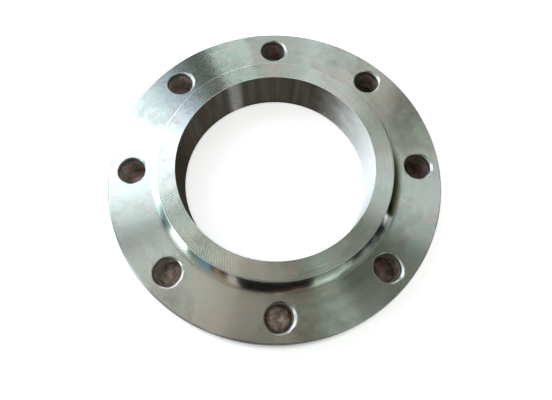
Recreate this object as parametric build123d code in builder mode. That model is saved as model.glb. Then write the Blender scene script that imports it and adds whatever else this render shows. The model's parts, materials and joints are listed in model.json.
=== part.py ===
from build123d import *
import os

# Round pipe flange with a short straight hub, turned all over from one forging.
# Millimetres. The gasket face rests on z = 0, the hub rises along +Z about the pipe's axis,
# and the first bolt hole lies on +X.

# Hub
bore_diameter = 161.5  # the same as the inside of the light-walled pipe that it carries on
hub_wall = 15.25  # width of the flat ring at the hub's end
hub_rise = 14.2  # from the plate's nut side to the hub's end
root_fillet = 8.0  # where the hub meets the plate
straight_side = 2.0  # at least this much of the hub's side stays straight above the fillet

# Plate, with the bolt holes between the hub and the rim
plate_thickness = 23.8  # without the raised face
bolt_count = 8
bolt_hole_diameter = 22.2
nut_room = 13.55  # from the hub's side to a bolt hole's wall
rim_margin = 7.95  # metal between a bolt hole's wall and the rim

# Raised gasket face on the underside
raised_face_height = 1.6
raised_face_margin = 0.8  # flat left between the raised face and a bolt hole's edge break

# Edge breaks, all at 45 degrees
rim_break = 1.0
hub_break = 0.8
bore_break = 0.8
bolt_hole_break = 0.8
raised_face_break = 0.4

# Sizes that follow
bore_radius = bore_diameter / 2
hub_radius = bore_radius + hub_wall
bolt_hole_radius = bolt_hole_diameter / 2
bolt_circle_radius = hub_radius + nut_room + bolt_hole_radius
rim_radius = bolt_circle_radius + bolt_hole_radius + rim_margin
raised_face_radius = bolt_circle_radius - bolt_hole_radius - bolt_hole_break - raised_face_margin
plate_top = raised_face_height + plate_thickness
hub_top = plate_top + hub_rise
root_radius = min(root_fillet, hub_rise - hub_break - straight_side)

with BuildPart() as flange:
    # Half section: gasket face, rim, nut side, hub and bore, with its root fillet and edge breaks
    with BuildSketch(Plane.XZ) as section:
        with BuildLine():
            Polyline(
                (bore_radius, 0),
                (raised_face_radius, 0),
                (raised_face_radius, raised_face_height),
                (rim_radius, raised_face_height),
                (rim_radius, plate_top),
                (hub_radius, plate_top),
                (hub_radius, hub_top),
                (bore_radius, hub_top),
                close=True,
            )
        make_face()
        root = section.vertices().sort_by_distance((hub_radius, plate_top))[0]
        fillet(root, radius=root_radius)
        broken_corners = [
            ((bore_radius, 0), bore_break),
            ((raised_face_radius, 0), raised_face_break),
            ((rim_radius, raised_face_height), rim_break),
            ((rim_radius, plate_top), rim_break),
            ((hub_radius, hub_top), hub_break),
            ((bore_radius, hub_top), bore_break),
        ]
        for place, edge_break in broken_corners:
            corner = section.vertices().sort_by_distance(place)[0]
            chamfer(corner, length=edge_break)
    revolve(axis=Axis.Z)

    # Bolt holes, drilled through the plate and broken at both mouths
    with PolarLocations(bolt_circle_radius, bolt_count):
        Hole(radius=bolt_hole_radius)
    mouths = flange.edges(Select.LAST).filter_by(GeomType.CIRCLE)
    chamfer(mouths, length=bolt_hole_break)

flange.part.label = "flange"

os.makedirs("parts", exist_ok=True)
export_step(flange.part, "parts/flange.step")
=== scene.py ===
import json
import math

import bpy
import numpy as np
from mathutils import Matrix, Vector


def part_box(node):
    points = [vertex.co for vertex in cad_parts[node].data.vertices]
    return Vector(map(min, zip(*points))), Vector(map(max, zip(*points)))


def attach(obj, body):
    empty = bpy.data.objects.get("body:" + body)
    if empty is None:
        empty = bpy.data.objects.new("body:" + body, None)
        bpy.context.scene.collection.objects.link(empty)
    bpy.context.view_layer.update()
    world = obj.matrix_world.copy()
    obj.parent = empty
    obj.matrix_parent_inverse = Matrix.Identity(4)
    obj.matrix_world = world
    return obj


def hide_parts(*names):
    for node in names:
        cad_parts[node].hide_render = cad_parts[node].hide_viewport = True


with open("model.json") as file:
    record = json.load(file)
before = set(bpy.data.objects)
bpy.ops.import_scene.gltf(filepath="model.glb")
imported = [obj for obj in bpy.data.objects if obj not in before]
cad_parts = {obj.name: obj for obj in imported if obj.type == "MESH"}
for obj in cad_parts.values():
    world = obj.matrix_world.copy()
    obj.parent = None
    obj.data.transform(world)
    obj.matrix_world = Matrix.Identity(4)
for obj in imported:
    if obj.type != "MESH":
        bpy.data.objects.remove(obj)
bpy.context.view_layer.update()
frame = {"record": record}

print("frame loaded")

# Metres throughout. +Z is the pipe's axis, and the first bolt hole lies on +X.
mm = 0.001
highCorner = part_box("flange")[1]
mounts = {mount["name"]: mount for mount in frame["record"]["mounts"]}


# Camera
# The photo's own camera, from a fit on the flange's circles. It stands on the near side, the photo's bottom,
# and "turn" is how far the first bolt hole is turned from the photo's right.
photo = {
    "width": 552,  # pixels, by 400 high
    "turn": 2.59,  # degrees
    "focal": 378.4,  # pixels
    "place": (0.0, -127.52 * mm, 319.34 * mm),
    "pitch": 71.33,  # degrees below the horizon
    "yaw": 0.69,
    "roll": 2.19,
}


def addCamera(v):
    data = bpy.data.cameras.new("photoCamera")
    data.sensor_width = 36.0
    data.lens = data.sensor_width * v["focal"] / v["width"]
    data.clip_start = 10 * mm
    pitch, yaw, roll = (math.radians(v[k]) for k in ("pitch", "yaw", "roll"))
    ahead = Vector((math.sin(yaw) * math.cos(pitch), math.cos(yaw) * math.cos(pitch), -math.sin(pitch)))
    level = Vector((math.cos(yaw), -math.sin(yaw), 0.0))
    above = level.cross(ahead)
    right = math.cos(roll) * level + math.sin(roll) * above
    up = math.cos(roll) * above - math.sin(roll) * level
    pose = Matrix((right, up, -ahead)).transposed().to_4x4()
    pose.translation = Vector(v["place"])
    camera = bpy.data.objects.new("photoCamera", data)
    camera.matrix_world = Matrix.Rotation(-math.radians(v["turn"]), 4, "Z") @ pose
    bpy.context.scene.collection.objects.link(camera)
    bpy.context.scene.camera = camera


def bearingAngle(bearing):
    # a bearing in the photo, in degrees round from its right, as an angle round the pipe's axis from +X
    return math.radians(bearing - photo["turn"])


addCamera(photo)
bpy.context.scene.view_settings.view_transform = "Standard"
print("camera placed")


# Shader sums
class Wire:
    # An output socket that takes part in Python sums. Each sum adds one Math node.
    def __init__(self, board, socket):
        self.board = board
        self.socket = socket

    def __add__(self, other):
        return self.board.maths("ADD", self, other)

    def __sub__(self, other):
        return self.board.maths("SUBTRACT", self, other)

    def __mul__(self, other):
        return self.board.maths("MULTIPLY", self, other)

    def __truediv__(self, other):
        return self.board.maths("DIVIDE", self, other)

    def __radd__(self, other):
        return self.board.maths("ADD", other, self)

    def __rsub__(self, other):
        return self.board.maths("SUBTRACT", other, self)

    def __rmul__(self, other):
        return self.board.maths("MULTIPLY", other, self)

    def __rtruediv__(self, other):
        return self.board.maths("DIVIDE", other, self)


class Board:
    # One node tree. node() is the only way that a node is added to it.
    def __init__(self, tree):
        self.tree = tree
        tree.nodes.clear()

    def node(self, kind, settings=None, sockets=None):
        made = self.tree.nodes.new(kind)
        for name, value in (settings or {}).items():
            setattr(made, name, value)
        for name, value in (sockets or {}).items():
            if isinstance(value, Wire):
                self.tree.links.new(value.socket, made.inputs[name])
            else:
                made.inputs[name].default_value = value
        return made

    def out(self, made, name=0):
        return Wire(self, made.outputs[name])

    def maths(self, operation, first, second=0.0):
        return self.out(self.node("ShaderNodeMath", {"operation": operation}, {0: first, 1: second}))

    def blend(self, share, first, second):
        # colour mix, which goes from first to second as share goes from 0 to 1
        made = self.node(
            "ShaderNodeMix",
            {"data_type": "RGBA", "clamp_factor": True},
            {"Factor": share, 6: first, 7: second},
        )
        return self.out(made, 2)

    def smooth(self, value, low, high):
        # 0 below low and 1 above high, with a soft step between them
        made = self.node(
            "ShaderNodeMapRange",
            {"interpolation_type": "SMOOTHSTEP"},
            {"Value": value, "From Min": low, "From Max": high},
        )
        return self.out(made)

    def vectors(self, operation, first, second=(0.0, 0.0, 0.0)):
        return self.out(self.node("ShaderNodeVectorMath", {"operation": operation}, {0: first, 1: second}))

    def scaled(self, vector, share):
        return self.out(self.node("ShaderNodeVectorMath", {"operation": "SCALE"}, {0: vector, "Scale": share}))

    def place(self):
        return self.out(self.node("ShaderNodeTexCoord"), "Object")

    def facing(self):
        return self.out(self.node("ShaderNodeNewGeometry"), "Normal")

    def level(self, vector):
        # its two parts across the pipe's axis
        made = self.node("ShaderNodeSeparateXYZ", {}, {0: vector})
        return self.out(made, 0), self.out(made, 1)

    def height(self, vector):
        return self.out(self.node("ShaderNodeSeparateXYZ", {}, {0: vector}), 2)

    def fromAxis(self, vector):
        # distance from the pipe's axis
        x, y = self.level(vector)
        return self.maths("SQRT", x * x + y * y)

    def roundAxis(self, vector):
        # angle round the pipe's axis
        x, y = self.level(vector)
        return self.maths("ARCTAN2", y, x)

    def cloud(self, vector, size, detail=3.0, rough=0.5):
        # noise whose lumps are about this size in metres
        made = self.node(
            "ShaderNodeTexNoise",
            {"noise_dimensions": "3D"},
            {"Vector": vector, "Scale": 1 / size, "Detail": detail, "Roughness": rough},
        )
        return self.out(made, 0)

    def lines(self, value, pitch, detail=2.0, rough=0.5):
        # noise along one value only, so a noise of the radius is a set of rings
        made = self.node(
            "ShaderNodeTexNoise",
            {"noise_dimensions": "1D"},
            {"W": value / pitch, "Scale": 1.0, "Detail": detail, "Roughness": rough},
        )
        return self.out(made, 0)


def colour(red, green, blue):
    return (red, green, blue, 1.0)


# Finishes
# Every finish is bare steel. Its two widths are those of the highlight, across the tool marks and along them, and the
# marks run round the pipe's axis on all turned faces.
steel = {
    "facedWidths": (0.16, 0.016),
    "gasketWidths": (0.36, 0.10),
    "neckWidths": (0.08, 0.008),
    "rimWidths": (0.30, 0.07),
    "boredWidths": (0.50, 0.08),
    "drilledWidths": (0.25, 0.25),
    "edgeWidths": (0.12, 0.06),
    "neckEdgeWidths": (0.30, 0.20),
    "rimEdgeWidths": (0.30, 0.12),
    "bare": colour(0.60, 0.61, 0.595),
    "green": colour(0.545, 0.60, 0.56),
    "warm": colour(0.63, 0.575, 0.555),
    "stained": colour(0.42, 0.41, 0.37),
    "stainAt": (106 * mm, 52 * mm, 25 * mm),  # the largest stain
    "stainReach": 45 * mm,
    "mottleSize": 38 * mm,
    "grain": 0.16,  # how far fine grain changes the colour, as a share
    "grainSize": 1.1 * mm,
    "brushDepth": 0.29,  # how far brush marks on the neck's end change it
    "brushPitch": 2.3 * mm,
    "brushLean": 0.47,  # how far they lean from the radii
    "brushSide": 222.0,  # bearing of their side of the end, in degrees round from the photo's right
    "speckle": 0.22,  # how far specks on the neck's end change the colour
    "speckleSize": 2.4 * mm,
    # The bore's wall is painted: brown shade on most sides, darkest on one side and at its foot, and light on one
    # side.
    "oiled": colour(0.075, 0.064, 0.052),  # painted shade: the bore's dark sides, and the rim's upper edge
    "oilStreak": colour(0.13, 0.115, 0.10),
    # the darkest painted shade: in the bore, below the holes' mouths and on the floor round them
    "deepOil": colour(0.034, 0.030, 0.023),
    "filmSheen": colour(0.48, 0.45, 0.42),  # the bore's specular tint at a slant
    "polished": colour(0.83, 0.84, 0.83),  # painted light: the bore's lit side
    "cleanSide": -12.0,  # bearing of that side
    "cleanStrip": 118.0,  # and of a narrow strip painted lit as well
    "deepSide": 198.0,  # bearing of the bore's side with the darkest painted shade
    # painted shade on one side of the neck's root and on the plate beside it
    "rootOil": colour(0.085, 0.085, 0.045),
    "oilSide": 350.0,  # bearing of the side of the neck's root with painted shade
    "oilGap": 334.0,  # and of a spot in it left without painted shade
    "dull": colour(0.11, 0.115, 0.085),  # painted shade on the plate round the neck
    "dullShare": 0.55,
    "dullSide": 314.0,  # bearing of its side
    # soot and rust on the side painted as shaded
    "soot": colour(0.15, 0.14, 0.12),
    "rust": colour(0.48, 0.36, 0.31),
    "ash": colour(0.33, 0.31, 0.29),  # soot and rust painted lighter, as if lit
    "paleRust": colour(0.72, 0.59, 0.52),
    "rustSide": 205.0,  # bearing of the side painted as lit
    "redRust": colour(0.44, 0.25, 0.21),
    "scale": colour(0.92, 0.86, 0.80),
    "mouthDepth": 1.0 * mm,  # bright metal at a bolt hole's mouth
    "grooveTurn": 0.8 * mm,  # the gasket face's spiral groove, from one turn to the next
    "grooveDepth": 0.06 * mm,
    "ringPitch": 1.1 * mm,
    "markPitch": 0.11 * mm,
    "markDepth": 0.004 * mm,
    "faceSpread": 1.2,  # slope of the fine tool marks, from one extreme to the other
    "neckSpread": 1.0,
    "neckTerrace": 1.1,  # lift of the root fillet's small steps
    "edgeRoll": 1.3,  # how far the neck's worn edges face up
    "edgeShine": 1.6,  # and how much brighter than the faces they are
    "rimEdgeShade": 0.55,
}


def startFinish(name, widths):
    # The shader keeps roughness squared as the mean of both widths, and their ratio as 1 - 0.9 * anisotropy. Its own
    # tangent runs round the flange's axis, so a quarter turn lays the wider way across the tool marks.
    material = bpy.data.materials.new(name)
    material.use_nodes = True
    board = Board(material.node_tree)
    across, along = widths
    roughness = math.sqrt(math.sqrt(across * along))
    anisotropy = (1 - along / across) / 0.9
    shader = board.node(
        "ShaderNodeBsdfPrincipled",
        {},
        {"Metallic": 1.0, "Roughness": roughness, "Anisotropic": anisotropy, "Anisotropic Rotation": 0.25},
    )
    board.node("ShaderNodeOutputMaterial", {}, {"Surface": board.out(shader)})
    return material, board, shader, roughness


def feed(board, shader, name, wire):
    board.tree.links.new(wire.socket, shader.inputs[name])


def bumped(board, height, depth):
    made = board.node("ShaderNodeBump", {}, {"Strength": 1.0, "Distance": depth, "Height": height})
    return board.out(made)


def turnedNormal(board, place, profile, pitch, spread, terrace=0.0):
    # Tool marks too fine to see one by one. Each tilts the surface a little across its own run round the pipe's axis.
    # Formula: normal + across * tilt + up * terrace * (1 - normal.z ** 2), where across is the cross product of the
    # normal and the direction of turning. The last term is for the root fillet alone, which is turned in small steps
    # whose treads face up.
    x, y = board.level(place)
    turning = board.out(board.node("ShaderNodeCombineXYZ", {}, {0: 0.0 - y, 1: x}))
    facing = board.facing()
    across = board.vectors("NORMALIZE", board.vectors("CROSS_PRODUCT", facing, turning))
    tilt = spread * (board.lines(profile, pitch, 1.0) - 0.5)
    tilted = board.vectors("ADD", facing, board.scaled(across, tilt))
    if terrace:
        slant = board.height(facing)
        filletTop = flange["plateTop"] + flange["rootFillet"]
        onFillet = 1.0 - board.smooth(board.height(place), filletTop - 0.6 * mm, filletTop + 0.2 * mm)
        lift = terrace * onFillet * (1.0 - slant * slant)
        tilted = board.vectors("ADD", tilted, board.out(board.node("ShaderNodeCombineXYZ", {}, {2: lift})))
    return board.vectors("NORMALIZE", tilted)


def steelTint(board, place, v):
    # bare steel that drifts between a greenish and a warm grey, with faint stains and fine grain
    drift = board.smooth(board.cloud(place, v["mottleSize"]), 0.40, 0.60)
    warmth = board.smooth(board.cloud(place, 0.7 * v["mottleSize"], 4.0, 0.6), 0.48, 0.66)
    away = board.node("ShaderNodeVectorMath", {"operation": "DISTANCE"}, {0: place, 1: v["stainAt"]})
    near = 1.0 - board.smooth(board.out(away, "Value"), 5 * mm, v["stainReach"])
    stain = board.smooth(0.14 * near + board.cloud(place, 0.9 * v["mottleSize"], 5.0, 0.65), 0.48, 0.70)
    tint = board.blend(drift, v["bare"], v["green"])
    tint = board.blend(warmth * 0.8, tint, v["warm"])
    tint = board.blend(stain * 0.7, tint, v["stained"])
    grain = 1.0 + v["grain"] * (board.cloud(place, v["grainSize"], 2.0, 0.7) - 0.5)
    return board.scaled(tint, grain)


def sideShare(board, place, bearing, low, high):
    # 1 on the side of the axis that lies at this bearing in the photo, down to 0 away from it, by the angle's cosine
    x, y = board.level(place)
    middle = bearingAngle(bearing)
    return board.smooth((x * math.cos(middle) + y * math.sin(middle)) / board.fromAxis(place), low, high)


def brushed(board, place, tint, v):
    # the neck's end: fine specks, and on one side brush marks at a steady angle to its radii
    run = board.roundAxis(place) * flange["neckRadius"] - v["brushLean"] * board.fromAxis(place)
    waver = 1.5 * board.cloud(place, 30 * mm, 1.0)
    marks = 2.0 * board.maths("PINGPONG", run / v["brushPitch"] + waver, 0.5) - 0.5
    marks = marks * (0.55 + 0.7 * board.cloud(place, 5 * mm, 2.0))
    onEnd = board.smooth(board.height(place), flange["neckTop"] - 2.2 * mm, flange["neckTop"] - 1.2 * mm)
    patch = onEnd * sideShare(board, place, v["brushSide"], 0.80, 0.93)
    speckle = onEnd * (board.cloud(place, v["speckleSize"], 2.0, 0.7) - 0.5)
    return board.scaled(tint, 1.0 + v["brushDepth"] * patch * marks + v["speckle"] * speckle)


def paintRootShade(board, place, tint, v):
    # painted shade round one side of the neck's root, with a spot left out, and fainter painted shade on the plate
    # beside it
    fromNeck = board.fromAxis(place) - flange["neckRadius"]
    near = 1.0 - board.smooth(fromNeck, 6.5 * mm, 12 * mm)
    low = 1.0 - board.smooth(board.height(place), flange["plateTop"] + 5 * mm, flange["plateTop"] + 9 * mm)
    onPlate = board.smooth(fromNeck, 7.6 * mm, 9 * mm)
    unshadedShare = sideShare(board, place, v["oilGap"], 0.9975, 0.9995)
    rootShadeShare = near * low * sideShare(board, place, v["oilSide"], 0.91, 0.98) * board.maths("MAXIMUM", onPlate, 1.0 - unshadedShare)
    paintedShadeLayer = onPlate * (1.0 - board.smooth(fromNeck, 9 * mm, 52 * mm))
    paintedShadeLayer = v["dullShare"] * paintedShadeLayer * sideShare(board, place, v["dullSide"], 0.94, 0.995)
    return board.blend(rootShadeShare, board.blend(paintedShadeLayer, tint, v["dull"]), v["rootOil"])


def facedSteel(v):
    # flat faces: rings of tool marks round the axis
    material, board, shader, roughness = startFinish("facedSteel", v["facedWidths"])
    place = board.place()
    radius = board.fromAxis(place)
    rings = board.lines(radius, v["ringPitch"], 3.0)
    tint = paintRootShade(board, place, steelTint(board, place, v), v)
    feed(board, shader, "Base Color", brushed(board, place, tint, v))
    feed(board, shader, "Roughness", roughness - 0.02 + 0.04 * rings)
    feed(board, shader, "Normal", turnedNormal(board, place, radius, v["markPitch"], v["faceSpread"]))
    return material


def gasketSteel(v):
    # the gasket face: one fine spiral groove
    material, board, shader, roughness = startFinish("gasketSteel", v["gasketWidths"])
    place = board.place()
    radius = board.fromAxis(place)
    groove = board.maths("PINGPONG", radius / v["grooveTurn"] - board.roundAxis(place) / math.tau, 0.5)
    feed(board, shader, "Base Color", steelTint(board, place, v))
    feed(board, shader, "Roughness", roughness + 0.05 * board.lines(radius, v["markPitch"], 1.0))
    feed(board, shader, "Normal", bumped(board, groove, v["grooveDepth"]))
    return material


def neckSteel(v):
    # the neck's side and root fillet, turned finer than the faces
    material, board, shader, roughness = startFinish("neckSteel", v["neckWidths"])
    place = board.place()
    radius, height = board.fromAxis(place), board.height(place)
    marks = board.lines(radius + height, v["ringPitch"], 2.0)
    feed(board, shader, "Base Color", paintRootShade(board, place, steelTint(board, place, v), v))
    feed(board, shader, "Roughness", roughness - 0.01 + 0.02 * marks)
    normal = turnedNormal(board, place, radius - height, v["markPitch"], v["neckSpread"], v["neckTerrace"])
    feed(board, shader, "Normal", normal)
    return material


def rimSteel(v):
    # the rim's wall: rings of tool marks up its height
    material, board, shader, roughness = startFinish("rimSteel", v["rimWidths"])
    place = board.place()
    height = board.height(place)
    rings = board.lines(height, v["ringPitch"], 3.0)
    marks = board.lines(height, v["markPitch"], 1.0)
    feed(board, shader, "Base Color", steelTint(board, place, v))
    feed(board, shader, "Roughness", roughness - 0.03 + 0.06 * rings)
    feed(board, shader, "Normal", bumped(board, marks, v["markDepth"]))
    return material


def boredSteel(v):
    # the bore's wall: painted light on one side and on a narrow strip, painted brown shade on the others, darkest on
    # one side and at the foot, with lighter streaks along the pipe
    material, board, shader, roughness = startFinish("boredSteel", v["boredWidths"])
    shader.inputs["Specular Tint"].default_value = v["filmSheen"]
    place = board.place()
    x, y = board.level(place)
    height = board.height(place)
    litBearing = bearingAngle(v["cleanSide"])
    towardLit = (x * math.cos(litBearing) + y * math.sin(litBearing)) / boreRadius
    patches = board.cloud(place, 14 * mm, 4.0)
    fromStrip = board.maths("ABSOLUTE", board.roundAxis(place) - bearingAngle(v["cleanStrip"]))
    strip = 1.0 - board.smooth(fromStrip, 0.02, 0.11)
    unshadedShare = board.smooth(towardLit + 0.35 * (patches - 0.5), 0.18, 1.02) + 0.6 * strip * patches
    upright = board.vectors("MULTIPLY", place, (1.0, 1.0, 0.06))
    streaks = board.smooth(board.cloud(upright, 6 * mm, 3.0, 0.6), 0.30, 0.85)
    paintedShadeLayer = board.blend(streaks, v["oiled"], v["oilStreak"])
    paintedShadeLayer = board.blend(0.8 * sideShare(board, place, v["deepSide"], 0.70, 0.98), paintedShadeLayer, v["deepOil"])
    paintedShadeLayer = board.blend(1.0 - board.smooth(height, 0.6 * mm, 3.2 * mm), paintedShadeLayer, v["deepOil"])
    marks = board.lines(height, 0.4 * mm, 2.0)
    feed(board, shader, "Base Color", board.blend(unshadedShare, paintedShadeLayer, v["polished"]))
    feed(board, shader, "Roughness", roughness - 0.03 + 0.06 * marks)
    feed(board, shader, "Normal", bumped(board, marks, v["markDepth"]))
    return material


def rustLitShare(board, place, v):
    # 1 on the side where soot and rust are painted lighter, as if lit, down to 0 on the other side
    return sideShare(board, place, v["rustSide"], -0.8, 0.5)


def rustAndShadeColour(board, place, v):
    # soot, rust and pale scale, in lumps, with painted light: lighter, and with more scale, on one side
    lumps = board.smooth(board.cloud(place, 7 * mm, 4.0, 0.65), 0.40, 0.62)
    crust = board.smooth(board.cloud(place, 9 * mm, 3.0, 0.6), 0.54, 0.70)
    rustLit = rustLitShare(board, place, v)
    soot, rust = board.blend(rustLit, v["soot"], v["ash"]), board.blend(rustLit, v["rust"], v["paleRust"])
    elsewhere = board.vectors("ADD", place, (0.03, 0.01, 0.02))
    spots = board.smooth(board.cloud(elsewhere, 6 * mm, 2.0), 0.53, 0.70)
    rust = board.blend(spots, board.blend(lumps, soot, rust), v["redRust"])
    return board.blend(crust * (0.3 + 0.7 * rustLit), rust, v["scale"])


def drilledSteel(v):
    # bolt holes: bright at the mouth, a dark ring of painted shade below it, then rust that is painted lighter on one
    # side
    material, board, shader, roughness = startFinish("drilledSteel", v["drilledWidths"])
    place = board.place()
    depth = flange["plateTop"] - board.height(place) + 2 * mm * (board.cloud(place, 6 * mm) - 0.5)
    crustAndShadeShare = board.smooth(depth, v["mouthDepth"], v["mouthDepth"] + 1.5 * mm)
    # painted shade: a dark ring just below the mouth
    crustAndShade = board.blend(board.smooth(depth, 2 * mm, 6 * mm), v["deepOil"], rustAndShadeColour(board, place, v))
    feed(board, shader, "Base Color", board.blend(crustAndShadeShare, v["bare"], crustAndShade))
    feed(board, shader, "Metallic", 1.0 - crustAndShadeShare)
    feed(board, shader, "Normal", bumped(board, board.cloud(place, 0.8 * mm, 3.0), 0.06 * mm))
    return material


def edgeSteel(v):
    # edge breaks, a little smoother than the faces beside them
    material, board, shader, roughness = startFinish("edgeSteel", v["edgeWidths"])
    place = board.place()
    feed(board, shader, "Base Color", steelTint(board, place, v))
    feed(board, shader, "Roughness", roughness - 0.03 + 0.06 * board.cloud(place, 3 * mm))
    return material


def neckEdgeSteel(v):
    # both edges of the neck's end, worn bright and rolled over
    material, board, shader, roughness = startFinish("neckEdgeSteel", v["neckEdgeWidths"])
    place = board.place()
    rolled = board.vectors("NORMALIZE", board.vectors("ADD", board.facing(), (0.0, 0.0, v["edgeRoll"])))
    feed(board, shader, "Base Color", board.scaled(steelTint(board, place, v), v["edgeShine"]))
    feed(board, shader, "Roughness", roughness - 0.03 + 0.06 * board.cloud(place, 3 * mm))
    feed(board, shader, "Normal", rolled)
    return material


def rimEdgeSteel(v):
    # the rim's upper edge break, darkened as painted shade
    material, board, shader, roughness = startFinish("rimEdgeSteel", v["rimEdgeWidths"])
    place = board.place()
    tint = board.blend(board.cloud(place, 6 * mm), v["oiled"], v["warm"])
    feed(board, shader, "Base Color", board.scaled(tint, v["rimEdgeShade"]))
    feed(board, shader, "Roughness", roughness - 0.03 + 0.06 * board.cloud(place, 3 * mm))
    return material


finishes = [facedSteel, gasketSteel, neckSteel, rimSteel, boredSteel, drilledSteel]
finishes += [edgeSteel, neckEdgeSteel, rimEdgeSteel]
finishNumber = {make.__name__: number for number, make in enumerate(finishes)}
print("finishes named:", ", ".join(finishNumber))


# Flange
# Main sizes come from the frame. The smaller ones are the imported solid's own, apart from the edges of the neck's end
# and of the holes' mouths, which follow the photo.
boreRadius = mounts["bore"]["dims"]["r_mm"] * mm
flange = {
    "boreRadius": boreRadius,
    "neckRadius": 2 * mounts["weld_end"]["pos_m"][0] - boreRadius,
    "rimRadius": highCorner.x,
    "circleRadius": mounts["bolt_holes"]["dims"]["pcd_mm"] * mm / 2,
    "holeRadius": mounts["bolt_holes"]["dims"]["hole_r_mm"] * mm,
    "holeCount": mounts["bolt_holes"]["dims"]["count"],
    "neckTop": highCorner.z,
    "plateTop": mounts["nut_face"]["pos_m"][2],
    "stepHeight": 2 * mounts["bolt_holes"]["pos_m"][2] - mounts["nut_face"]["pos_m"][2],
    "faceRadius": 107.95 * mm,
    "rootFillet": 8.0 * mm,
    "rimBreak": 1.0 * mm,
    "smallBreak": 0.8 * mm,
    "neckBreak": 0.6 * mm,  # the outer edge of the neck's end
    "boreBreak": 0.3 * mm,  # and its edge at the bore
    "footBreak": 0.4 * mm,  # where the bore ends at the gasket face
    "mouthBreak": 0.5 * mm,  # the holes' upper edge breaks, made by hand
    "mouthWide": 2.0 * mm,  # and on the side where they are widest
    "mouthSide": 5.0,  # bearing of that side
    "mouthSlope": 0.7,  # how deep these breaks are for their width
    "faceBreak": 0.4 * mm,
    "softness": 0.25,  # share of a break's width that is rounded at each of its edges
    "footRound": 0.1 * mm,  # where the raised face's step meets the plate
    "plateLap": 0.4 * mm,  # flat left round each turned edge, where the plate's own grid begins
    "sectorSteps": 56,
    "sideSteps": 20,
    "webSteps": 7,
    "wallSteps": 4,
    "topWobble": 0.28,  # uneven hand filing of the holes' upper edge breaks, as a share of their width
    "lowWobble": 0.06,
    "seed": 11,
}


def breakCorners(corner, before, after, width, softness, finish, face="edgeSteel"):
    # A 45 degree break at a corner, as two corners with rounded edges. before and after are unit directions of travel.
    corner, before, after = (np.array(v, float) for v in (corner, before, after))
    reach = softness * width * math.sqrt(2)
    rounding = reach / math.tan(math.pi / 8)
    first = corner - width * before
    second = corner + width * after
    return [(*first, rounding, face), (*second, rounding, finish)]


def roundedProfile(corners, runSteps=2, arcStep=0.9 * mm):
    # Formula: each inner corner gives way to an arc tangent to its two runs. The arc starts at corner - before * t,
    # with t = radius * tan(half turn), its centre lies a radius off that point along the normal, and its normal
    # turns evenly from one run's normal to the next one's. Every point has one normal, so shading has no seam.
    places = np.array([corner[:2] for corner in corners], float)
    along = np.diff(places, axis=0)
    along /= np.linalg.norm(along, axis=1)[:, None]
    outward = np.column_stack((along[:, 1], -along[:, 0]))
    points = [places[:1]]
    normals = [outward[:1]]
    names = []
    for number in range(1, len(corners) - 1):
        radius, finish = corners[number][2:]
        before, after = along[number - 1], along[number]
        turn = math.atan2(before[0] * after[1] - before[1] * after[0], before @ after)
        side = math.copysign(1.0, turn)
        start = places[number] - before * radius * math.tan(abs(turn) / 2)
        centre = start - side * radius * outward[number - 1]
        arcSteps = max(2, round(radius * abs(turn) / arcStep))
        angles = np.linspace(0.0, turn, arcSteps + 1)
        first = outward[number - 1]
        normal = np.column_stack(
            (
                first[0] * np.cos(angles) - first[1] * np.sin(angles),
                first[0] * np.sin(angles) + first[1] * np.cos(angles),
            )
        )
        share = np.arange(1, runSteps)[:, None] / runSteps
        last = points[-1][-1]
        points += [last + share * (start - last), centre + side * radius * normal]
        normals += [np.repeat(outward[number - 1][None], runSteps - 1, axis=0), normal]
        names += [corners[number - 1][3]] * runSteps + [finish] * arcSteps
    share = np.arange(1, runSteps + 1)[:, None] / runSteps
    last = points[-1][-1]
    points.append(last + share * (places[-1] - last))
    normals.append(np.repeat(outward[-1][None], runSteps, axis=0))
    names += [corners[-2][3]] * runSteps
    return np.vstack(points), np.vstack(normals), np.array([finishNumber[name] for name in names])


def gridFaces(rows, columns, closed):
    # quads of a grid of rows by columns, whose last row meets the first if closed
    here = np.arange(rows * columns).reshape(rows, columns)
    nextRow = np.roll(here, -1, axis=0)
    if not closed:
        here, nextRow = here[:-1], nextRow[:-1]
    quads = np.stack((here[:, :-1], nextRow[:, :-1], nextRow[:, 1:], here[:, 1:]), axis=-1)
    return quads.reshape(-1, 4)


def turnedRun(profile, angles):
    # Formula: point(a, s) = (r(s) cos a, r(s) sin a, z(s)), and its normal turns the same way.
    points, normals, names = profile
    cosine, sine = np.cos(angles)[:, None], np.sin(angles)[:, None]
    level = np.ones_like(cosine)
    place = np.stack((cosine * points[:, 0], sine * points[:, 0], level * points[:, 1]), axis=-1)
    normal = np.stack((cosine * normals[:, 0], sine * normals[:, 0], level * normals[:, 1]), axis=-1)
    faces = gridFaces(len(angles), len(points), True)
    return place.reshape(-1, 3), normal.reshape(-1, 3), faces, np.tile(names, len(angles))


def sectorOutline(v, inner, outer):
    # Outline of one sector of the plate, with its hole's centre on +X: inner arc, side, outer arc and other side.
    half = math.pi / v["holeCount"]
    sweep = np.linspace(-half, half, v["sectorSteps"] + 1)[:-1]
    climb = np.linspace(inner, outer, v["sideSteps"] + 1)[:-1]
    radius = np.concatenate((np.full(len(sweep), inner), climb, np.full(len(sweep), outer), outer + inner - climb))
    angle = np.concatenate((sweep, np.full(len(climb), half), -sweep, np.full(len(climb), -half)))
    return np.column_stack((radius * np.cos(angle), radius * np.sin(angle)))


def filedWidth(bearing, dice, wobble):
    # Formula: 1 + the sum of a few waves round the hole, each with its own phase, for the width of a filed edge break.
    width = np.ones_like(bearing)
    for waves in (1, 2, 3, 5, 8, 13):
        size = wobble * dice.uniform(0.3, 1.0) / math.sqrt(waves)
        width += size * np.cos(waves * bearing + dice.uniform(0, math.tau))
    return np.clip(width, 0.35, 1 + 1.6 * wobble)


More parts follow.
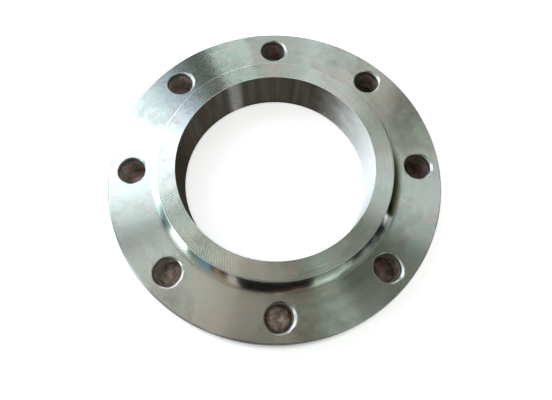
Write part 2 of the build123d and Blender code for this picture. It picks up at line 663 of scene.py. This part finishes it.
def holeStrip(v, bearing, topWidth, lowWidth):
    # The hole's wall with its two edge breaks, as distance from the hole's axis, height and normal for each bearing.
    # Formula: the mouth's profile is scaled by the filed width at each bearing, once down from the plate's top, where
    # its depth is scaled by the slope as well, and once up from the underside. Straight rows join both.
    edge = v["smallBreak"]
    topWidth = topWidth / edge
    corners = [(edge * (1 + 1.6 * v["softness"]), 0.0, 0.0, "edgeSteel")]
    corners += breakCorners((0.0, 0.0), (-1, 0), (0, -1), edge, v["softness"], "drilledSteel")
    corners += [(0.0, -2 * edge, 0.0, "drilledSteel")]
    mouth, mouthNormal, mouthFinish = roundedProfile(corners)
    out, down = mouth[None, :, 0], mouth[None, :, 1]
    topWidth, lowWidth = topWidth[:, None], lowWidth[:, None]
    topHeight = v["plateTop"] + v["mouthSlope"] * topWidth * down
    lowHeight = (v["stepHeight"] - lowWidth * down)[:, ::-1]
    share = np.arange(1, v["wallSteps"])[None, :] / v["wallSteps"]
    wallHeight = topHeight[:, -1:] + share * (lowHeight[:, :1] - topHeight[:, -1:])
    height = np.hstack((topHeight, wallHeight, lowHeight))
    wallRadius = np.full_like(wallHeight, v["holeRadius"])
    radius = np.hstack((v["holeRadius"] + topWidth * out, wallRadius, (v["holeRadius"] + lowWidth * out)[:, ::-1]))
    wallNormal = np.tile((-1.0, 0.0), (v["wallSteps"] - 1, 1))
    topNormal = mouthNormal * (v["mouthSlope"], 1)
    topNormal /= np.linalg.norm(topNormal, axis=1)[:, None]
    normal = np.vstack((topNormal, wallNormal, (mouthNormal * (1, -1))[::-1]))
    wallFinish = np.full(v["wallSteps"], finishNumber["drilledSteel"])
    return radius, height, normal, np.concatenate((mouthFinish, wallFinish, mouthFinish[::-1]))


def drilledSector(v, turn, inner, outer, dice):
    # One bolt hole and the plate round it, above and below, turned to its place on the bolt circle.
    # Formula: point(b, s) = hole centre + radius(b, s) * (cos b, sin b), and the plate's web runs straight from the
    # hole's mouth to the sector's outline, in steps that widen as step ** 1.4.
    centre = np.array((v["circleRadius"], 0.0))
    outlines = {plane: sectorOutline(v, inner[plane], outer) for plane in inner}
    middle = outlines["plateTop"] - centre
    bearing = np.arctan2(middle[:, 1], middle[:, 0])
    ray = np.column_stack((np.cos(bearing), np.sin(bearing)))
    lean = (0.5 + 0.5 * np.cos(bearing + turn - bearingAngle(v["mouthSide"]))) ** 2
    topWidth = v["mouthBreak"] + (v["mouthWide"] - v["mouthBreak"]) * lean
    topWidth = topWidth * filedWidth(bearing, dice, v["topWobble"])
    lowWidth = filedWidth(bearing, dice, v["lowWobble"])
    radius, height, normal, finish = holeStrip(v, bearing, topWidth, lowWidth)
    strip = np.dstack((centre + radius[:, :, None] * ray[:, None, :], height[:, :, None]))
    level = np.ones((len(bearing), len(normal), 1))
    stripNormal = np.dstack((normal[None, :, :1] * ray[:, None, :], normal[None, :, 1:] * level))
    grids = [(strip, stripNormal, finish)]
    share = ((np.arange(v["webSteps"] + 1) / v["webSteps"]) ** 1.4)[None, :, None]
    for plane, column, upward in (("plateTop", 0, 1.0), ("stepHeight", -1, -1.0)):
        edge = strip[:, column, :2][:, None, :]
        web = edge + share * (outlines[plane][:, None, :] - edge)
        web = np.dstack((web, np.full(web.shape[:2], v[plane])))
        webNormal = np.zeros_like(web)
        webNormal[..., 2] = upward
        grids.append((web, webNormal, np.full(v["webSteps"], finishNumber["facedSteel"])))
    cosine, sine = math.cos(turn), math.sin(turn)
    spin = np.array(((cosine, sine, 0.0), (-sine, cosine, 0.0), (0.0, 0.0, 1.0)))
    parts = []
    for place, facing, names in grids:
        faces = gridFaces(*place.shape[:2], True)
        parts.append((place.reshape(-1, 3) @ spin, facing.reshape(-1, 3) @ spin, faces, np.tile(names, len(place))))
    return parts


def flangeParts(v):
    plateEdge = v["rimRadius"] - v["rimBreak"] - v["plateLap"]
    inner = {
        "plateTop": v["neckRadius"] + v["rootFillet"] + v["plateLap"],
        "stepHeight": v["faceRadius"] + 1.5 * v["footRound"],
    }
    up, down, inward, outward = (0, 1), (0, -1), (-1, 0), (1, 0)
    soft = v["softness"]
    neck = [(inner["plateTop"], v["plateTop"], 0.0, "facedSteel")]
    neck += [(v["neckRadius"], v["plateTop"], v["rootFillet"], "neckSteel")]
    worn = "neckEdgeSteel"
    neck += breakCorners((v["neckRadius"], v["neckTop"]), up, inward, v["neckBreak"], soft, "facedSteel", worn)
    neck += breakCorners((v["boreRadius"], v["neckTop"]), inward, down, v["boreBreak"], soft, "boredSteel", worn)
    neck += breakCorners((v["boreRadius"], 0.0), down, outward, v["footBreak"], soft, "gasketSteel")
    neck += breakCorners((v["faceRadius"], 0.0), outward, up, v["faceBreak"], soft, "rimSteel")
    neck += [(v["faceRadius"], v["stepHeight"], v["footRound"], "facedSteel")]
    neck += [(inner["stepHeight"], v["stepHeight"], 0.0, "facedSteel")]
    rim = [(plateEdge, v["stepHeight"], 0.0, "facedSteel")]
    rim += breakCorners((v["rimRadius"], v["stepHeight"]), outward, up, v["rimBreak"], soft, "rimSteel")
    rim += breakCorners((v["rimRadius"], v["plateTop"]), up, inward, v["rimBreak"], soft, "facedSteel", "rimEdgeSteel")
    rim += [(plateEdge, v["plateTop"], 0.0, "facedSteel")]
    sectors = v["holeCount"]
    angles = (np.arange(sectors * v["sectorSteps"]) / v["sectorSteps"] - 0.5) * math.tau / sectors
    parts = [turnedRun(roundedProfile(neck), angles), turnedRun(roundedProfile(rim), angles)]
    dice = np.random.default_rng(v["seed"])
    for number in range(sectors):
        parts += drilledSector(v, number * math.tau / sectors, inner, plateEdge, dice)
    return parts


def joined(parts):
    # All parts as one list of points, each place named once, with every face turned to look along its normals.
    starts = np.cumsum([0] + [len(part[0]) for part in parts[:-1]])
    place = np.vstack([part[0] for part in parts])
    normal = np.vstack([part[1] for part in parts])
    faces = np.vstack([part[2] + start for part, start in zip(parts, starts)])
    names = np.concatenate([part[3] for part in parts])
    weldGrid = 1e-7
    keys = np.round(place / weldGrid).astype(np.int64)
    kept, renamed = np.unique(keys, axis=0, return_index=True, return_inverse=True)[1:]
    faces = renamed.ravel()[faces]
    place, normal = place[kept], normal[kept]
    across = np.cross(place[faces[:, 2]] - place[faces[:, 0]], place[faces[:, 3]] - place[faces[:, 1]])
    away = np.einsum("ij,ij->i", across, normal[faces].sum(axis=1)) < 0
    faces[away] = faces[away][:, ::-1]
    return place, normal, faces, names


def addSurface(name, place, faces, normal=None, names=None):
    mesh = bpy.data.meshes.new(name)
    mesh.from_pydata(place, [], faces)
    mesh.polygons.foreach_set("use_smooth", np.ones(len(faces), bool))
    if names is not None:
        mesh.polygons.foreach_set("material_index", names.astype(np.int32))
    mesh.update()
    if normal is not None:
        mesh.normals_split_custom_set_from_vertices(normal / np.linalg.norm(normal, axis=1)[:, None])
    piece = bpy.data.objects.new(name, mesh)
    bpy.context.scene.collection.objects.link(piece)
    return piece


place, normal, faces, names = joined(flangeParts(flange))
turnedFlange = addSurface("turnedFlange", place, faces, normal, names)
for makeFinish in finishes:
    turnedFlange.data.materials.append(makeFinish(steel))
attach(turnedFlange, "root")
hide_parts("flange")
sides = np.sort(np.stack((faces, np.roll(faces, -1, axis=1)), axis=-1).reshape(-1, 2), axis=1)
sideUses = np.unique(sides, axis=0, return_counts=True)[1]
print("flange built:", 2 * len(faces), "triangles,", int((sideUses != 2).sum()), "open sides")


# Floor and light
studio = {
    "floorRadius": 3.0,
    "floorDrop": 0.05 * mm,
    "paper": colour(0.84, 0.84, 0.84),
    "paperGlow": 0.72,  # white that the floor adds to the camera's view and in metal, but not under the plate
    "holeGlow": 0.13,  # painted light that it adds at the foot of the bolt holes on the lit side
    "shadeSide": 270.0,  # bearing of the side where the floor is darkest round the holes
    "cardRadius": 3.0,
    "cardGap": 0.01,  # each card stands this much nearer than the next one in the list, and hides it
}

# Cards that the steel mirrors, by the photo's own bearings: from and to, round from its right and up from the floor,
# in degrees, with their tint and strength. The first stands in front.
cards = {
    "farPane": ((70, 84), (44, 62), (0.90, 0.98, 1.00), 1.6),
    "farTop": ((60, 97), (42, 62), (1.00, 1.00, 0.88), 0.8),
    "farStrip": ((98, 109), (0, 42), (0.84, 1.00, 0.98), 2.3),
    "farSill": ((76, 98), (0, 42), (0.75, 0.94, 1.00), 0.9),
    "gapTop": ((112, 121), (46, 62), (0.60, 0.80, 1.00), 2.1),
    "leftPane": ((125, 140), (34, 62), (0.81, 0.90, 1.00), 4.3),
    "leftPaneLow": ((122, 140), (0, 34), (0.80, 0.95, 1.00), 0.8),
    "leftMid": ((140, 158), (34, 62), (0.84, 0.82, 1.00), 2.7),
    "leftLow": ((140, 178), (0, 34), (0.86, 0.86, 1.00), 2.8),
    "leftTop": ((158, 172), (48, 62), (0.80, 0.95, 1.00), 0.8),
    "leftHigh": ((158, 178), (34, 48), (0.60, 1.00, 0.85), 2.4),
    "tealGap": ((179, 194), (0, 32), (0.68, 1.00, 0.97), 0.5),
    "nearTop": ((178, 212), (48, 64), (1.00, 1.00, 0.85), 0.75),
    "nearWindow": ((188, 209), (32, 48), (0.80, 1.00, 0.92), 1.4),
    "nearLow": ((194, 209), (0, 32), (0.80, 0.96, 1.00), 3.3),
    "nearHaze": ((207, 226), (34, 70), (0.80, 1.00, 0.92), 0.42),
    "nearAmber": ((226, 239), (34, 70), (1.00, 0.76, 0.52), 0.47),
    "greyCard": ((207, 217), (0, 32), (0.90, 1.00, 0.95), 0.25),
    "blueCard": ((217, 228), (0, 34), (0.30, 0.68, 1.00), 0.44),
    "amberCard": ((231, 235), (6, 40), (1.00, 0.70, 0.38), 0.25),
    "paleCard": ((240, 246), (6, 34), (1.00, 0.97, 0.88), 0.5),
    "warmCard": ((236, 246), (34, 62), (1.00, 0.87, 0.79), 0.75),
    "greenCard": ((300, 322), (42, 62), (0.86, 1.00, 0.88), 1.5),
    "greenLow": ((318, 327), (30, 50), (0.90, 1.00, 0.92), 0.9),
    "greenSill": ((298, 320), (14, 42), (0.80, 1.00, 0.82), 0.35),
    "greenHigh": ((308, 332), (62, 74), (0.90, 1.00, 0.94), 0.35),
    "greenSide": ((330, 344), (42, 60), (0.90, 1.00, 0.92), 0.55),
    "rightHigh": ((14, 40), (43, 64), (0.90, 0.98, 1.00), 1.0),
    "rightEdge": ((346, 363), (48, 62), (0.95, 1.00, 0.80), 0.3),
    "rightPane": ((34, 52), (48, 62), (0.95, 1.00, 0.80), 0.3),
    "rightSpot": ((336, 342), (34, 48), (0.95, 1.00, 0.85), 0.55),
    "rightBlue": ((345, 347), (26, 60), (0.66, 0.93, 1.00), 0.65),
    "rightSpark": ((357, 361), (16, 38), (1.00, 1.00, 0.94), 1.8),
    "rightLow": ((6, 24), (0, 18), (1.00, 0.97, 0.97), 0.5),
    "rightSill": ((24, 42), (0, 34), (0.97, 1.00, 0.85), 0.6),
    "overLeft": ((104, 136), (62, 76), (0.95, 1.00, 0.95), 1.7),
    "overFar": ((40, 104), (62, 76), (0.95, 1.00, 0.84), 0.67),
    "overNear": ((190, 230), (62, 76), (0.85, 1.00, 0.95), 0.3),
    "overRight": ((286, 322), (62, 76), (1.00, 0.80, 0.65), 0.6),
    "overSide": ((276, 294), (76, 90), (1.00, 0.80, 0.62), 1.3),
    "overTop": ((90, 180), (76, 90), (1.00, 0.80, 0.65), 0.9),
    "room": ((0, 360), (-2, 90), (1.00, 1.00, 1.00), 0.012),
}


def sphereGrid(radius, bearings, rises, columns, rows):
    # Formula: point(a, e) = radius * (cos e cos a, cos e sin a, sin e), with a the bearing and e the rise.
    a, e = np.meshgrid(np.linspace(*bearings, columns + 1), np.linspace(*rises, rows + 1), indexing="ij")
    place = radius * np.dstack((np.cos(e) * np.cos(a), np.cos(e) * np.sin(a), np.sin(e)))
    return place.reshape(-1, 3), gridFaces(columns + 1, rows + 1, False)


def addCard(name, radius, card):
    bearings, rises, tint, strength = card
    material = bpy.data.materials.new(name + "Light")
    material.use_nodes = True
    board = Board(material.node_tree)
    light = board.node("ShaderNodeEmission", {}, {"Color": colour(*tint), "Strength": strength})
    board.node("ShaderNodeOutputMaterial", {}, {"Surface": board.out(light)})
    turned = [bearingAngle(bearing) for bearing in bearings]
    columns, rows = (max(2, round((span[1] - span[0]) / 6)) for span in (bearings, rises))
    place, faces = sphereGrid(radius, turned, np.radians(rises), columns, rows)
    piece = addSurface(name, place, faces)
    piece.data.materials.append(material)
    piece.visible_camera = False


for number, (name, card) in enumerate(cards.items()):
    addCard(name, studio["cardRadius"] + number * studio["cardGap"], card)


def fromHole(board, place):
    # Distance from the nearest bolt hole's axis. Formula: the square root of r ** 2 + c ** 2 - 2 * r * c * cos a,
    # with r the distance from the pipe's axis, c the bolt circle's radius and a the angle to the nearest hole.
    radius, circle = board.fromAxis(place), flange["circleRadius"]
    step = math.tau / flange["holeCount"]
    turned = step * board.maths("PINGPONG", board.roundAxis(place) / step, 0.5)
    return board.maths("SQRT", radius * radius + circle**2 - 2 * circle * radius * board.maths("COSINE", turned))


def floorPaper(v):
    # Pale paper that the camera and the metal see as white. Under the plate it is painted with rust as painted shade,
    # darker still round the edge of each hole, most on one side, and keeps to the light that gets there, with a faint
    # painted glow at the foot of the holes on the lit side.
    material = bpy.data.materials.new("floorPaper")
    material.use_nodes = True
    board = Board(material.node_tree)
    path = board.node("ShaderNodeLightPath")
    seen = board.out(path, "Is Camera Ray") + board.out(path, "Is Glossy Ray") + board.out(path, "Is Transmission Ray")
    place = board.place()
    radius, reach = board.fromAxis(place), fromHole(board, place)
    inBore = 1.0 - board.smooth(radius, flange["boreRadius"] - 2 * mm, flange["boreRadius"] + 4 * mm)
    outside = board.smooth(radius, flange["rimRadius"] - 4 * mm, flange["rimRadius"] + 6 * mm)
    under = 1.0 - board.smooth(inBore + outside, 0.0, 1.0)
    shaded = 0.15 + 0.5 * sideShare(board, place, v["shadeSide"], 0.8, 0.95)
    shaded = shaded * board.smooth(reach, 7 * mm, 10.5 * mm)
    # painted shade: under the plate the paper takes rust and dark shade
    rust = board.blend(shaded, rustAndShadeColour(board, place, steel), steel["deepOil"])
    paper = board.node("ShaderNodeBsdfDiffuse", {}, {"Color": board.blend(under, v["paper"], rust)})
    inHole = 1.0 - board.smooth(reach, 5 * mm, 13 * mm)
    glow = (inBore + outside) * v["paperGlow"] + under * inHole * rustLitShare(board, place, steel) * v["holeGlow"]
    glow = board.scaled(board.blend(under, colour(1, 1, 1), rust), seen * glow)
    white = board.node("ShaderNodeEmission", {}, {"Color": glow, "Strength": 1.0})
    both = board.node("ShaderNodeAddShader", {}, {0: board.out(paper), 1: board.out(white)})
    board.node("ShaderNodeOutputMaterial", {}, {"Surface": board.out(both)})
    material.cycles.emission_sampling = "NONE"
    return material


def addFloor(v):
    # Formula: point(a, r) = (r cos a, r sin a, -drop), with rings that widen outwards.
    angles = np.arange(96) / 96 * math.tau
    rings = np.concatenate(([0.0], v["floorRadius"] * np.linspace(0.05, 1.0, 12) ** 1.5))
    a, r = np.meshgrid(angles, rings, indexing="ij")
    place = np.dstack((r * np.cos(a), r * np.sin(a), np.full_like(r, -v["floorDrop"]))).reshape(-1, 3)
    floor = addSurface("floor", place, gridFaces(len(angles), len(rings), True)[:, ::-1])
    floor.data.materials.append(floorPaper(v))


addFloor(studio)
world = bpy.data.worlds.new("paleWorld")
world.use_nodes = True
bpy.context.scene.world = world
sky = Board(world.node_tree)
backdrop = sky.node("ShaderNodeBackground", {}, {"Color": colour(1, 1, 1), "Strength": 1.0})
sky.node("ShaderNodeOutputWorld", {}, {"Surface": sky.out(backdrop)})
print("floor and lights placed")
